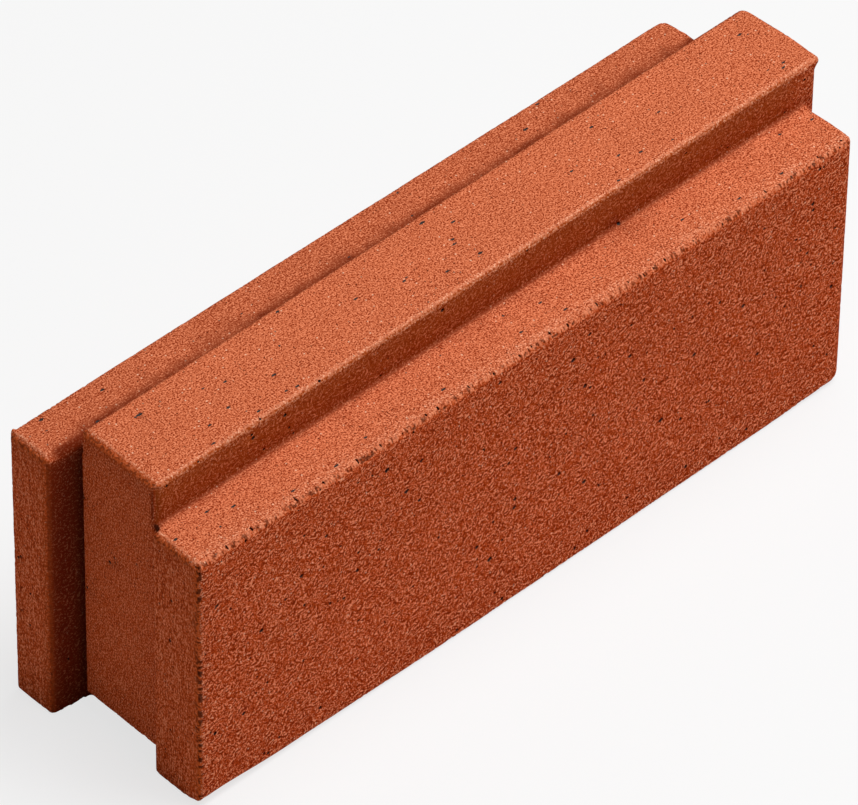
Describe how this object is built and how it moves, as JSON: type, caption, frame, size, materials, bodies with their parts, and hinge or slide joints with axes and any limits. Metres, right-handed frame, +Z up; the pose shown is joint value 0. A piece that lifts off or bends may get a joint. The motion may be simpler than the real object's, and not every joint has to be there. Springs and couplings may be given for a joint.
{
  "type": "interlocking brick",
  "caption": "Pressed earth brick with a raised bed ridge, a groove underneath, and a tongue and lapped recess at its ends, laid dry or with a thin joint.",
  "frame": {"origin": "on the ground plane, at the centre of the brick's overall box in plan", "axes": "+X along the wall, from the recessed end to the tongue end; +Y from the fair front face to the back face; +Z up, towards the ridge"},
  "size_m": [0.315, 0.083, 0.131],
  "materials": {
    "brick": "dry matt red earth with a fine sandy grain, small open pores and worn edges"
  },
  "bodies": {
    "root": {"brick": "brick"}
  },
  "joints": []
}
